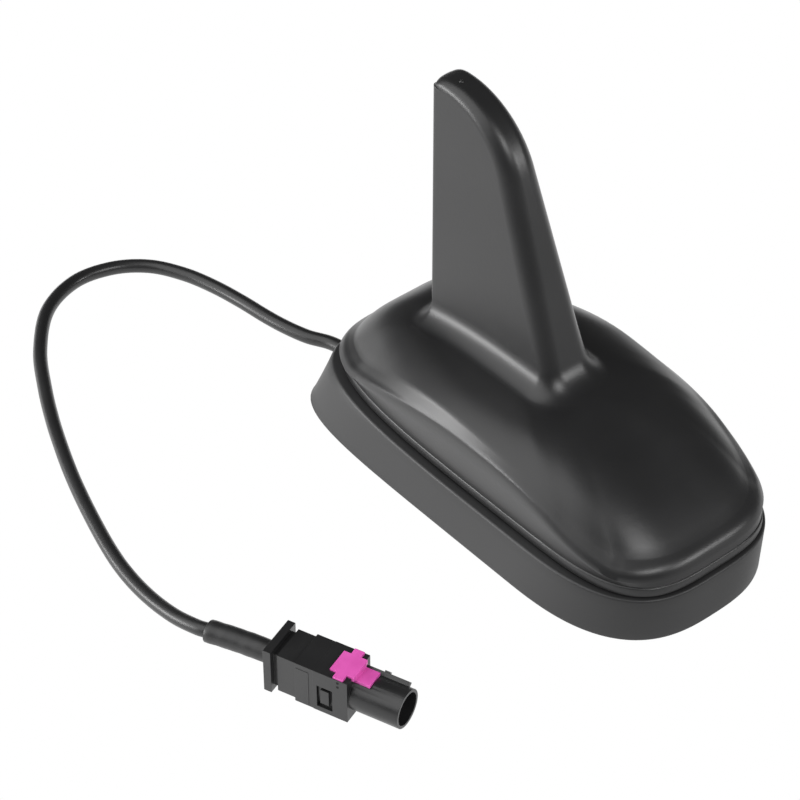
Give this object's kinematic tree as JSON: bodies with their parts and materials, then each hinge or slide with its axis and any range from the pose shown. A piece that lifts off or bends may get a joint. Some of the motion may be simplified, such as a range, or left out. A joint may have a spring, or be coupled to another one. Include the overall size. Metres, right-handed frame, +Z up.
{
  "type": "vehicle roof aerial",
  "caption": "Shark fin roof aerial: hollow black cover on a rubber skirt, boards inside, and a short coaxial lead that ends in a violet coded RF plug.",
  "frame": {"origin": "centre of the flat underside of the base, at floor level", "axes": "+Z up; -Y towards the nose of the base, +Y towards the rear where the fin stands and the lead leaves; +X to the right seen from the rear"},
  "size_m": [0.1177, 0.1769, 0.0919],
  "materials": {
    "cover_plastic": "satin, fine moulded grain",
    "skirt_rubber": "dull",
    "tray_plastic": "moulded",
    "pad_foam": "closed-cell foam",
    "cover_screws": "zinc plated",
    "matching_board": "green solder mask",
    "board_screws": "zinc plated",
    "board_parts": "ceramic",
    "fin_board": "green solder mask",
    "radiator": "bare copper",
    "feed_brackets": "tinned",
    "lead_clamp": "tinned",
    "lead_end": "stripped dielectric with solder",
    "aerial_lead": "satin jacket",
    "heat_shrink_sleeve": "dull",
    "crimp_ferrule": "nickel plated",
    "plug_housing": "satin",
    "coding_insert": "satin violet",
    "contact_tube": "nickel plated",
    "contact_insulator": "white",
    "centre_pin": "gold plated"
  },
  "bodies": {
    "root": {"cover": "cover_plastic", "gasket": "skirt_rubber", "base_tray": "tray_plastic", "adhesive_pad": "pad_foam", "cover_screws": "cover_screws", "matching_board": "matching_board", "board_screws": "board_screws", "board_parts": "board_parts", "fin_board": "fin_board", "radiator": "radiator", "feed_brackets": "feed_brackets", "lead_clamp": "lead_clamp", "lead_end": "lead_end", "aerial_lead": "aerial_lead", "heat_shrink_sleeve": "heat_shrink_sleeve", "crimp_ferrule": "crimp_ferrule", "plug_housing": "plug_housing", "coding_insert": "coding_insert", "contact_tube": "contact_tube", "contact_insulator": "contact_insulator", "centre_pin": "centre_pin"}
  },
  "joints": []
}
